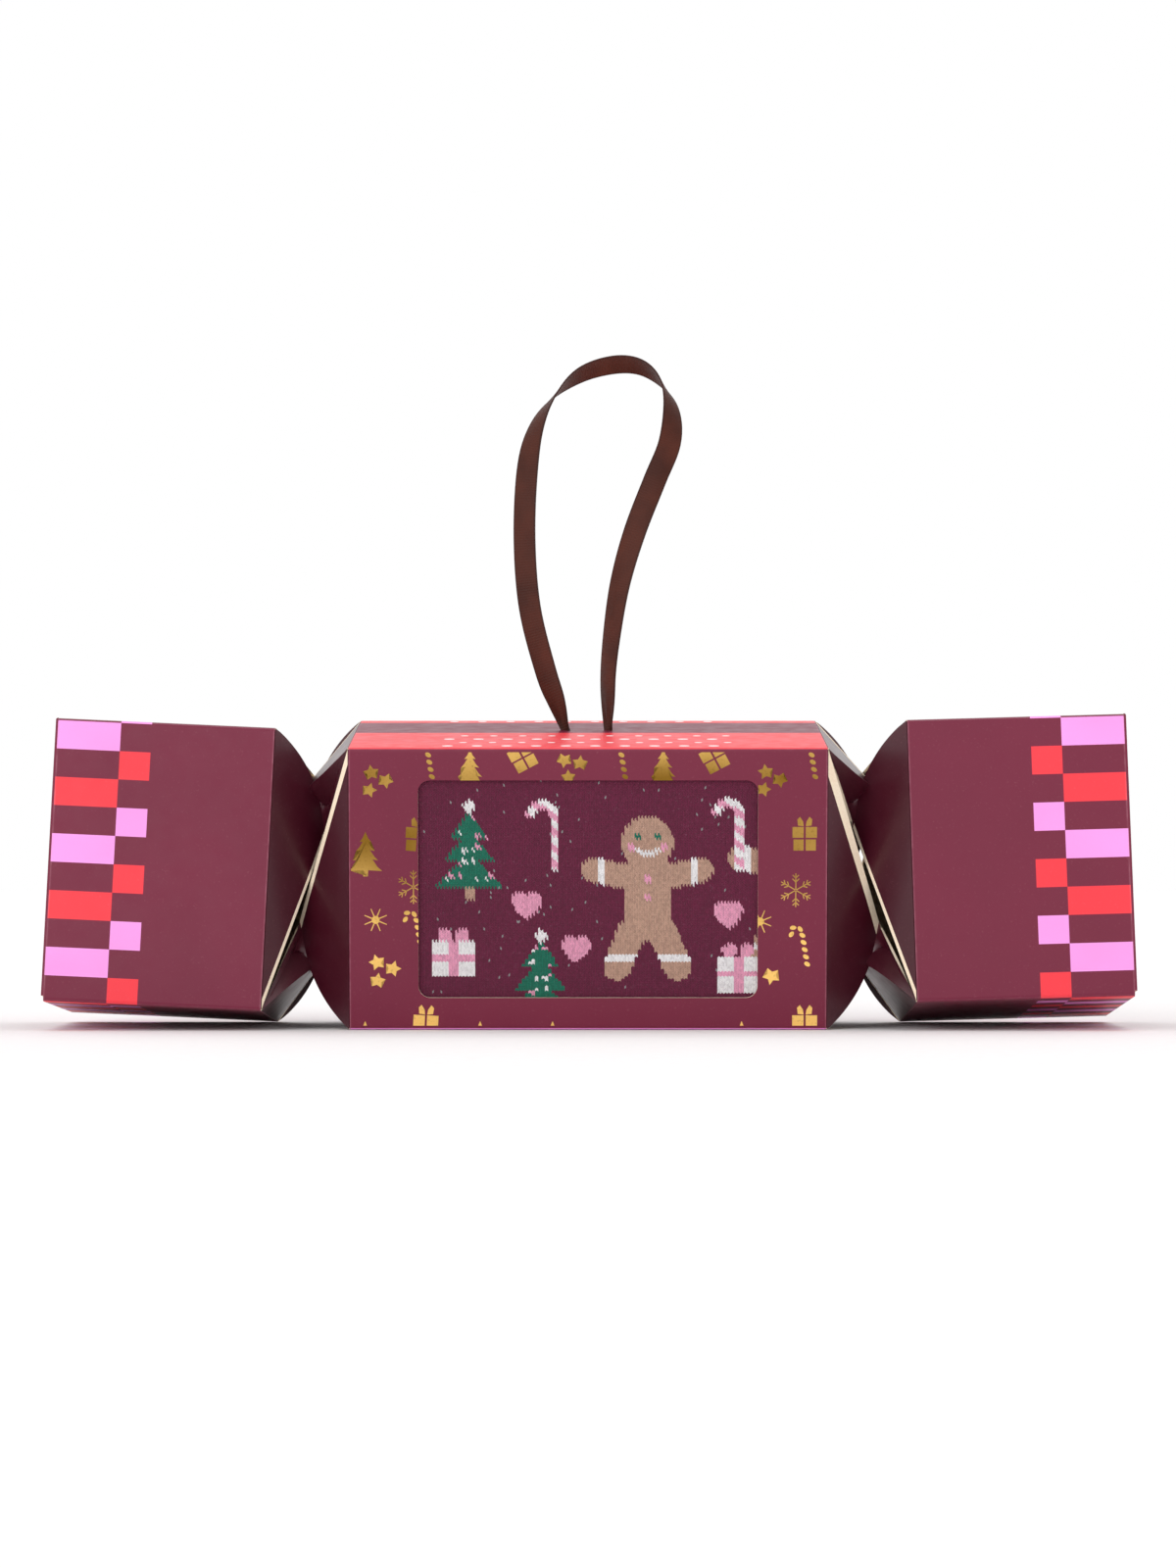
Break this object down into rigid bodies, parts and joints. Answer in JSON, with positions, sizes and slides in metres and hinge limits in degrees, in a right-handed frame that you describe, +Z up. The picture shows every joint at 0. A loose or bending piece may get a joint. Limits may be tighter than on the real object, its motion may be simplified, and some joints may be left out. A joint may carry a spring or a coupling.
{
  "type": "christmas cracker gift box",
  "caption": "Cracker-shaped folding gift box of printed board with a window on knitted socks, pushed-in necks, tuck ends and a satin hanging loop.",
  "frame": {"origin": "middle of the underside of the whole box's bounding box, on the table that it rests on", "axes": "+X along the cracker to the viewer's right, -Y towards the viewer and the window, +Z up"},
  "size_m": [0.2772, 0.0806, 0.1754],
  "materials": {
    "printed_board": "satin print, burgundy with pink, red and gold foil",
    "neck_board": "satin burgundy print, cream cut edges",
    "bare_board": "matt uncoated inner side of the board",
    "ribbon_satin": "brown satin",
    "sock_knit": "fine dark purple knit with small motifs"
  },
  "bodies": {
    "carton": {"front_panel": "printed_board", "top_panel": "printed_board", "rear_panel": "printed_board", "base_panel": "printed_board", "glue_strip": "bare_board", "left_front_neck_strip": "neck_board", "left_top_neck_strip": "neck_board", "left_rear_neck_strip": "neck_board", "left_base_neck_strip": "neck_board", "right_front_neck_strip": "neck_board", "right_top_neck_strip": "neck_board", "right_rear_neck_strip": "neck_board", "right_base_neck_strip": "neck_board", "ribbon_knots": "ribbon_satin", "front_sock": "sock_knit", "rear_sock": "sock_knit"},
    "left_end": {"left_front_panel": "printed_board", "left_top_panel": "printed_board", "left_rear_panel": "printed_board", "left_base_panel": "printed_board", "left_glue_strip": "bare_board"},
    "right_end": {"right_front_panel": "printed_board", "right_top_panel": "printed_board", "right_rear_panel": "printed_board", "right_base_panel": "printed_board", "right_glue_strip": "bare_board"},
    "left_end_lid": {"left_lid": "printed_board", "left_tuck_tab": "printed_board"},
    "right_end_lid": {"right_lid": "printed_board", "right_tuck_tab": "printed_board"},
    "left_front_flap": {"left_front_dust_flap": "bare_board"},
    "left_rear_flap": {"left_rear_dust_flap": "bare_board"},
    "right_front_flap": {"right_front_dust_flap": "bare_board"},
    "right_rear_flap": {"right_rear_dust_flap": "bare_board"},
    "ribbon_loop": {"hanging_ribbon": "ribbon_satin"}
  },
  "joints": [
    {"name": "left_neck_twist", "type": "hinge", "parent": "carton", "child": "left_end", "pos_m": [-0.07085, 0, 0.03933], "axis": [1, 0, 0], "range_deg": [-6, 6], "stiffness_Nm_per_rad": 0.6, "deforming": ["left_front_neck_strip", "left_top_neck_strip", "left_rear_neck_strip", "left_base_neck_strip"]},
    {"name": "right_neck_twist", "type": "hinge", "parent": "carton", "child": "right_end", "pos_m": [0.07135, 0, 0.03986], "axis": [1, 0, 0], "range_deg": [-6, 6], "stiffness_Nm_per_rad": 0.6, "deforming": ["right_front_neck_strip", "right_top_neck_strip", "right_rear_neck_strip", "right_base_neck_strip"]},
    {"name": "left_lid_fold", "type": "hinge", "parent": "left_end", "child": "left_end_lid", "pos_m": [-0.13451, 0.00251, 0.07675], "axis": [-0.0032, 0.9976, -0.0697], "range_deg": [0, 135]},
    {"name": "left_front_flap_fold", "type": "hinge", "parent": "left_end", "child": "left_front_flap", "pos_m": [-0.13513, -0.03531, 0.04331], "axis": [-0.0453, -0.0698, -0.9965], "range_deg": [0, 80]},
    {"name": "left_rear_flap_fold", "type": "hinge", "parent": "left_end", "child": "left_rear_flap", "pos_m": [-0.13536, 0.03531, 0.03837], "axis": [0.0453, 0.0698, 0.9965], "range_deg": [0, 80]},
    {"name": "right_lid_fold", "type": "hinge", "parent": "right_end", "child": "right_end_lid", "pos_m": [0.13618, 0.00364, 0.07678], "axis": [-0.0028, -0.9949, 0.101], "range_deg": [0, 135]},
    {"name": "right_front_flap_fold", "type": "hinge", "parent": "right_end", "child": "right_front_flap", "pos_m": [0.13618, -0.03522, 0.04453], "axis": [-0.0278, 0.1011, 0.9945], "range_deg": [0, 80]},
    {"name": "right_rear_flap_fold", "type": "hinge", "parent": "right_end", "child": "right_rear_flap", "pos_m": [0.13638, 0.03522, 0.03737], "axis": [0.0278, -0.1011, -0.9945], "range_deg": [0, 80]},
    {"name": "ribbon_swing", "type": "hinge", "parent": "carton", "child": "ribbon_loop", "pos_m": [0, 0.00435, 0.07713], "axis": [1, 0, 0], "range_deg": [-70, 70], "stiffness_Nm_per_rad": 0.002, "deforming": ["hanging_ribbon"]}
  ]
}
